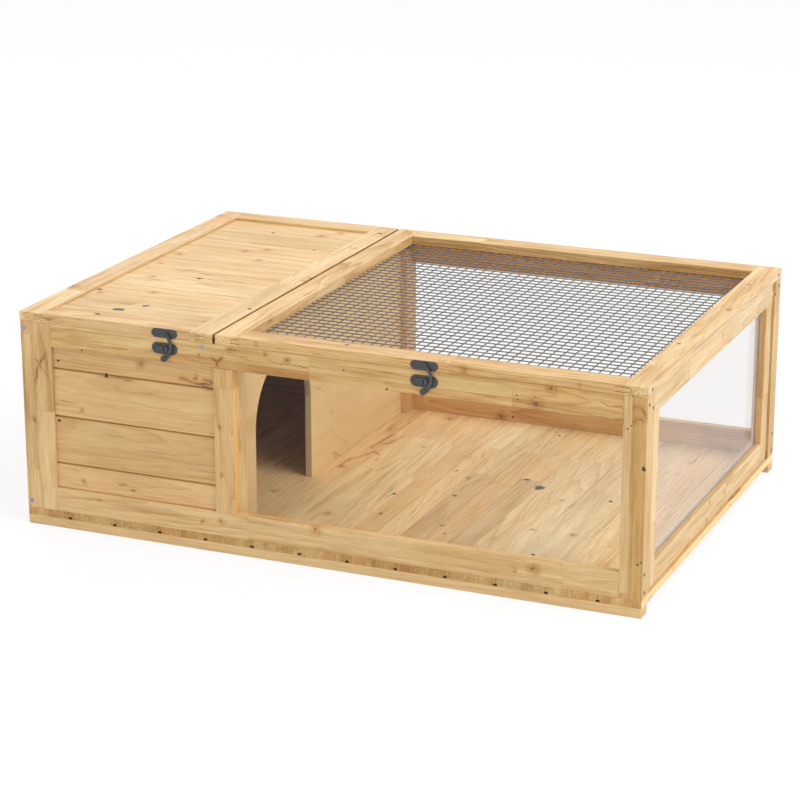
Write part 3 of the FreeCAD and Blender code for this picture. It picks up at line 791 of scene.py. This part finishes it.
def cut_for(name):
    """How one timber piece was cut and glued up: what differs from a plain length."""
    if name == "floor_boards":
        return dict(grain=Y, strip=floor_strip, strip_start=floor_joint - 2 * floor_strip, contrast=0.80,
                    warm=ruddy, blocks=[(first, None), (178, None)], stagger=floor_stagger, shades=floor_shades,
                    joint=0.07, figure=0.92, end=1.0, notched=True,
                    recess=[(X, 1, floor_recess, Z, 0.8), (X, -1, floor_recess, Z, 0.8)])
    if name == "solid_lid_boards":
        return dict(grain=X, strip=lid_board_pitch, strip_start=lid_board_joint - lid_board_pitch, contrast=0.4,
                    block=1.2, joint=0.6, figure=1.2)
    if name.endswith("wall_boards"):
        # The wall boards' wide dark joints are painted shade in the gaps between the boards, and their foot has
        # painted shade where it meets the bottom rail
        return dict(strip=wall_board_pitch, strip_start=wall_board_joint - wall_board_pitch, joint=0.9,
                    joint_width=wall_board_gap, figure=0.8, blocks=[(first, 0.0)], shades=(0.0, 0.95, 0.55, 0.90),
                    recess=[(Z, -1, board_foot_recess, Y, 0.8)])
    if "lid" in name:
        cut = dict(contrast=0.55, block=0.42, figure=1.7 if name.startswith("mesh") else 1.4, end=0.25)
        if name == "solid_lid_back_rail":
            cut.update(blocks=[(first, 0.30)])
        if name in ("solid_lid_right_stile", "mesh_lid_left_stile"):
            cut.update(recess=[(X, 1 if "right" in name else -1, lid_recess, X, 1.0)])
        return cut
    if name in ("front_top_rail", "back_top_rail"):
        return dict(strip=rail_strip, strip_start=top_rail_joint - rail_strip, figure=1.6, contrast=0.85,
                    blocks=[(first, 0.15), (-14, 0.20), (277, 0.50)], shades=(0.45, 0.0))
    if name in ("front_bottom_rail", "back_bottom_rail"):
        left_shade = 0.45 if name.startswith("front") else 1.0
        return dict(blocks=[(first, left_shade), (-110, 0.30), (350, 0.45)], figure=1.15)
    if name.endswith("bottom_rail"):
        return dict(strip=rail_strip, strip_start=side_rail_joint - rail_strip,
                    blocks=[(first, 0.35), (115, 0.05)], shades=(0.30, 0.0),
                    recess=[(Z, -1, side_recess, X, 0.8), (X, -1, sill_recess, Z, 0.6)])
    if name.startswith(("left", "right")) and name.endswith("stile"):
        return dict(recess=[(Z, -1, side_recess, X, 0.8), (Y, 1 if "back" in name else -1, side_recess, X, 0.8)])
    if name == "front_right_post":
        return dict(figure=1.2, blocks=[(first, 0.50)])
    if name in ("front_left_post", "front_left_stile"):
        return dict(figure=1.2)
    if name.endswith("foot_batten"):
        return dict(figure=0.6, contrast=0.3)
    return {}


def timber_for(name):
    tone = tones.get(name, back_tone if name.startswith("back") else plain_length["tone"])
    return Timber(name, tone=tone, sides=painted_face_light.get(name, ()), **cut_for(name), **marks_by_place(name))


# Tint, painted glare at the edges and gloss of each pane
clear_pane = ((0.985, 0.985, 0.985), 0.02, 0.011)
panes = {"front_window": clear_pane, "back_window": clear_pane,
         "right_window": ((0.955, 0.945, 0.940), 0.30, 0.018)}
wire_finish = coated_wire()
latch_finish = latch_paint()
hinge_finish = zinc("hinge_zinc", (0.62, 0.62, 0.60), (0.44, 0.44, 0.43))
screw_finish = zinc("screw_zinc", (0.36, 0.42, 0.51), (0.24, 0.29, 0.37))
dark_screw_finish = zinc("dark_screw_zinc", (0.070, 0.080, 0.100), (0.035, 0.040, 0.050))


def is_hinge(name):
    return "leaves" in name or "pins" in name


def finish_for(name):
    if name in panes:
        return acrylic(name, *panes[name])
    if name == "divider":
        return plywood(name)
    if name == "wire_mesh":
        return wire_finish
    if "latch" in name:
        return latch_finish
    if is_hinge(name):
        return hinge_finish
    return softwood(timber_for(name))


def weld_faces(node):
    """A node's mesh is loose triangles: they are joined before another modifier works on them."""
    weld = node.modifiers.new("weld", "WELD")
    weld.merge_threshold = weld_reach


def coat_wire(node):
    weld_faces(node)
    coat = node.modifiers.new("coat", "DISPLACE")
    coat.direction = "NORMAL"
    coat.mid_level = 0.0
    coat.strength = wire_coat


def ease_edges(node, width, segments):
    """Softened arrises."""
    weld_faces(node)
    ease = node.modifiers.new("ease", "BEVEL")
    ease.width = width
    ease.segments = segments
    ease.limit_method = "ANGLE"
    ease.angle_limit = edge_angle
    ease.use_clamp_overlap = True
    ease.harden_normals = False


for name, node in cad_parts.items():
    node.data.materials.clear()
    node.data.materials.append(finish_for(name))
    if name in panes or is_hinge(name):
        continue
    if name == "wire_mesh":
        coat_wire(node)
    elif "latch" in name:
        ease_edges(node, metal_ease, 2)
    elif name == "floor_boards":
        ease_edges(node, floor_ease, 1)
    elif name.endswith("boards") or name == "divider":
        ease_edges(node, board_ease, 1)
    else:
        ease_edges(node, timber_ease, 2)


# Fasteners

def start_editing():
    bpy.ops.object.mode_set(mode="EDIT")
    bpy.ops.mesh.select_mode(type="FACE")
    bpy.ops.mesh.select_all(action="DESELECT")


def pick_faces(piece, wanted):
    """Selects only the faces of the edited mesh that pass a test."""
    mesh = bmesh.from_edit_mesh(piece.data)
    for face in mesh.faces:
        face.select_set(wanted(face))
    bmesh.update_edit_mesh(piece.data)


def model_recess():
    """Tapered cross that is cut from a screw's face."""
    bpy.ops.object.select_all(action="DESELECT")
    bpy.ops.mesh.primitive_cube_add(size=recess_arm, location=(0, 0, 0))
    recess = bpy.context.active_object
    start_editing()
    pick_faces(recess, lambda face: abs(face.normal.z) < 0.5)
    bpy.ops.mesh.extrude_faces_move(TRANSFORM_OT_shrink_fatten={"value": recess_reach})
    bpy.ops.mesh.select_all(action="SELECT")
    bpy.ops.transform.resize(value=(1, 1, 2 * recess_depth / recess_arm))
    pick_faces(recess, lambda face: face.normal.z < -0.9)
    bpy.ops.transform.resize(value=(recess_taper, recess_taper, 1))
    bpy.ops.object.mode_set(mode="OBJECT")
    return recess


def model_screw(radius, finish):
    """Flat screw head with a rolled rim and a cross recess, facing +Z with the timber's face at zero."""
    bpy.ops.object.select_all(action="DESELECT")
    bpy.ops.mesh.primitive_cylinder_add(vertices=screw_sides, radius=radius, depth=screw_sink,
                                        location=(0, 0, screw_proud / 2 - screw_sink / 2))
    screw = bpy.context.active_object
    start_editing()
    pick_faces(screw, lambda face: face.normal.z > 0.9)
    bpy.ops.mesh.inset(thickness=screw_rim * radius, depth=screw_proud / 2)
    bpy.ops.mesh.inset(thickness=screw_dish * radius, depth=screw_proud / 4)
    bpy.ops.object.mode_set(mode="OBJECT")
    bpy.ops.object.transform_apply(location=True, rotation=True, scale=True)
    recess = model_recess()
    recess.data.transform(Matrix.Translation((0, 0, screw_proud)) @ Matrix.Scale(radius / screw_radius, 4))
    cut = screw.modifiers.new("recess", "BOOLEAN")
    cut.operation = "DIFFERENCE"
    cut.object = recess
    bpy.ops.object.select_all(action="DESELECT")
    bpy.context.view_layer.objects.active = screw
    screw.select_set(True)
    bpy.ops.object.modifier_apply(modifier="recess")
    bpy.ops.object.shade_smooth_by_angle(angle=edge_angle)
    bpy.data.objects.remove(recess)
    screw.data.materials.append(finish)
    return screw


def model_staple():
    """Wire staple, its crown along X below zero and its legs going up."""
    bpy.ops.object.select_all(action="DESELECT")
    bpy.ops.mesh.primitive_cube_add(size=staple_wire, location=(-staple_span / 2, 0, -staple_wire / 2))
    staple = bpy.context.active_object
    bpy.ops.object.transform_apply(location=True, rotation=True, scale=True)
    start_editing()
    for reach in (staple_span - staple_wire, staple_wire):
        pick_faces(staple, lambda face: face.normal.x > 0.9)
        bpy.ops.mesh.extrude_region_move(TRANSFORM_OT_translate={"value": (reach, 0, 0)})
    end = staple_span / 2 - staple_wire
    pick_faces(staple, lambda face: face.normal.z > 0.9 and abs(face.calc_center_median().x) > end)
    bpy.ops.mesh.extrude_region_move(TRANSFORM_OT_translate={"value": (0, 0, staple_leg)})
    bpy.ops.object.mode_set(mode="OBJECT")
    round_off = staple.modifiers.new("round_off", "BEVEL")
    round_off.width = staple_round
    round_off.segments = 1
    bpy.ops.object.modifier_apply(modifier="round_off")
    staple.data.materials.append(hinge_finish)
    return staple


def fasten(pattern, name, place, outward, body, turn=0.0):
    """A copy of a fastener with its own mesh, its +Z turned outward at a place."""
    piece = pattern.copy()
    piece.data = pattern.data.copy()
    piece.name = name
    bpy.context.scene.collection.objects.link(piece)
    facing = Vector(outward).to_track_quat("Z", "Y").to_matrix().to_4x4()
    piece.data.transform(Matrix.Translation(place) @ facing @ Matrix.Rotation(turn, 4, "Z"))
    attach(piece, body)


FRONT = (0, -1, 0)
BACK = (0, 1, 0)
LEFT = (-1, 0, 0)
RIGHT = (1, 0, 0)
UP = (0, 0, 1)

frame_screw = model_screw(screw_radius, screw_finish)
side_screw = model_screw(side_screw_radius, dark_screw_finish)
hinge_screw = model_screw(small_screw_radius, screw_finish)
latch_screw = model_screw(small_screw_radius, latch_finish)
staple = model_staple()


def fasten_posts():
    """Screws through the corner posts, and two more that hold the divider posts."""
    for wall, outward in (("front", FRONT), ("back", BACK)):
        low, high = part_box(wall + "_left_post")
        face = low.y if wall == "front" else high.y
        for level, z in (("low", low.z + post_screw_from_end), ("high", high.z - post_screw_from_end)):
            fasten(frame_screw, f"{wall}_left_post_screw_{level}", (low.x + post_screw_inset, face, z), outward,
                   "house", turn=0.4)
        low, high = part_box(wall + "_right_post")
        outer, inner = (low.y, 1) if wall == "front" else (high.y, -1)
        for level, deep, z in (("low", 10 * MM, low.z + 8 * MM), ("lower", 8.5 * MM, low.z + 34 * MM),
                               ("upper", 26.5 * MM, high.z - 20.5 * MM), ("high", 8.5 * MM, high.z - 11.7 * MM)):
            fasten(side_screw, f"{wall}_right_post_screw_{level}", (high.x, outer + inner * deep, z), RIGHT,
                   "house", turn=0.9)
        low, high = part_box(wall + "_centre_stile")
        face = low.y if wall == "front" else high.y
        rail_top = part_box(wall + "_top_rail")[1].z
        place = (low.x - divider_screw_inset, face, rail_top - divider_screw_drop)
        fasten(frame_screw, f"{wall}_divider_screw", place, outward, "house", turn=0.2)


def fasten_lids():
    """Side screws through the lid stiles into the rails' tongues."""
    for lid, end, outward in (("solid_lid", "left", LEFT), ("mesh_lid", "right", RIGHT)):
        low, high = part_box(f"{lid}_{end}_stile")
        x = low.x if end == "left" else high.x
        for place, y in (("front", low.y + lid_screw_inset), ("back", high.y - lid_screw_inset)):
            fasten(side_screw, f"{lid}_{end}_screw_{place}", (x, y, (low.z + high.z) / 2), outward,
                   lid, turn=0.6)


def fasten_latches():
    """Two screws in each latch plate and keeper."""
    for lid in ("solid_lid", "mesh_lid"):
        for part, body in (("latch_plate", lid), ("latch_keeper", "house")):
            low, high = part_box(f"{lid}_{part}")
            face = high.y - plate_thickness
            for side, x in (("left", low.x + latch_screw_inset), ("right", high.x - latch_screw_inset)):
                fasten(latch_screw, f"{lid}_{part}_screw_{side}", (x, face, (low.z + high.z) / 2), FRONT,
                       body, turn=0.5)


def fasten_hinges():
    """Two screws in each hinge leaf."""
    for lid in ("solid_lid", "mesh_lid"):
        pins_low, pins_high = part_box(lid + "_hinge_pins")
        for leaf, body, lift in (("house_leaves", "house", -hinge_screw_rise),
                                 ("hinge_leaves", lid, hinge_screw_rise)):
            low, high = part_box(f"{lid}_{leaf}")
            z = (pins_low.z + pins_high.z) / 2 + lift
            for hinge, middle in (("left", low.x + leaf_length / 2), ("right", high.x - leaf_length / 2)):
                for screw, x in (("a", middle - hinge_screw_spread), ("b", middle + hinge_screw_spread)):
                    place = (x, low.y + plate_thickness, z)
                    fasten(hinge_screw, f"{lid}_{leaf}_{hinge}_screw_{screw}", place, BACK, body,
                           turn=0.7)


def fasten_mesh():
    """Staples over the edge wires, on the underside of the mesh lid's frame."""
    low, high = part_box("wire_mesh")
    shares = [(index, (index + 0.5) / staples_a_side) for index in range(staples_a_side)]
    for index, share in shares:
        x = low.x + (high.x - low.x) * share
        for side, y in (("front", low.y + staple_inset), ("back", high.y - staple_inset)):
            fasten(staple, f"mesh_staple_{side}_{index}", (x, y, low.z), UP, "mesh_lid")
    for index, share in shares:
        y = low.y + (high.y - low.y) * share
        for side, x in (("left", low.x + staple_inset), ("right", high.x - staple_inset)):
            fasten(staple, f"mesh_staple_{side}_{index}", (x, y, low.z), UP, "mesh_lid",
                   turn=math.pi / 2)


fasten_posts()
fasten_lids()
fasten_latches()
fasten_hinges()
fasten_mesh()
for pattern in (frame_screw, side_screw, hinge_screw, latch_screw, staple):
    bpy.data.objects.remove(pattern)


# Studio

def seen_directly(finish):
    """1 for rays that show the background itself: straight from the camera, mirrored or through glass."""
    rays = finish.node("ShaderNodeLightPath")
    straight, mirrored, through = finish.outputs(rays, "Is Camera Ray", "Is Glossy Ray", "Is Transmission Ray")
    return straight.most(mirrored).most(through)


def pale_floor():
    bpy.ops.object.select_all(action="DESELECT")
    bpy.ops.mesh.primitive_plane_add(size=studio_size, location=(0, 0, 0))
    ground = bpy.context.active_object
    ground.name = "studio_floor"
    paper = Finish("studio_paper")
    matt = paper.node("ShaderNodeBsdfDiffuse", inputs={"Color": (0.90, 0.90, 0.90, 1)})
    white = paper.node("ShaderNodeEmission", inputs={"Color": (1, 1, 1, 1), "Strength": 1.0})
    shown = seen_directly(paper) * paper_white
    ground.data.materials.append(
        paper.done(paper.node("ShaderNodeMixShader", inputs={0: shown, 1: matt, 2: white})))


def white_world(level):
    sky = Finish("studio_world", bpy.data.worlds)
    strength = level + (1 - level) * seen_directly(sky)
    light = sky.node("ShaderNodeBackground", inputs={"Color": (1, 1, 1, 1), "Strength": strength})
    bpy.context.scene.world = sky.done(light, "ShaderNodeOutputWorld")


def soft_light(name, place, aim, size, power):
    lamp = bpy.data.lights.new(name, "AREA")
    lamp.shape = "DISK"
    lamp.size = size
    lamp.energy = power
    light = bpy.data.objects.new(name, lamp)
    light.location = place
    light.rotation_euler = (Vector(aim) - Vector(place)).to_track_quat("-Z", "Y").to_euler()
    bpy.context.scene.collection.objects.link(light)


def photo_camera():
    lens = bpy.data.cameras.new("photo_camera")
    lens.lens = camera_lens
    lens.sensor_width = sensor_width
    camera = bpy.data.objects.new("photo_camera", lens)
    camera.location = camera_place
    camera.rotation_euler = camera_turn
    bpy.context.scene.collection.objects.link(camera)
    bpy.context.scene.camera = camera


pale_floor()
white_world(world_level)
soft_light("key_light", place=(3.6, -0.9, 4.1), aim=(0, 0, 0.15), size=3.5, power=195)
soft_light("rim_light", place=(-2.6, 2.6, 4.4), aim=(0.2, -0.2, 0.1), size=2.4, power=50)
photo_camera()
bpy.context.scene.view_settings.view_transform = "Standard"
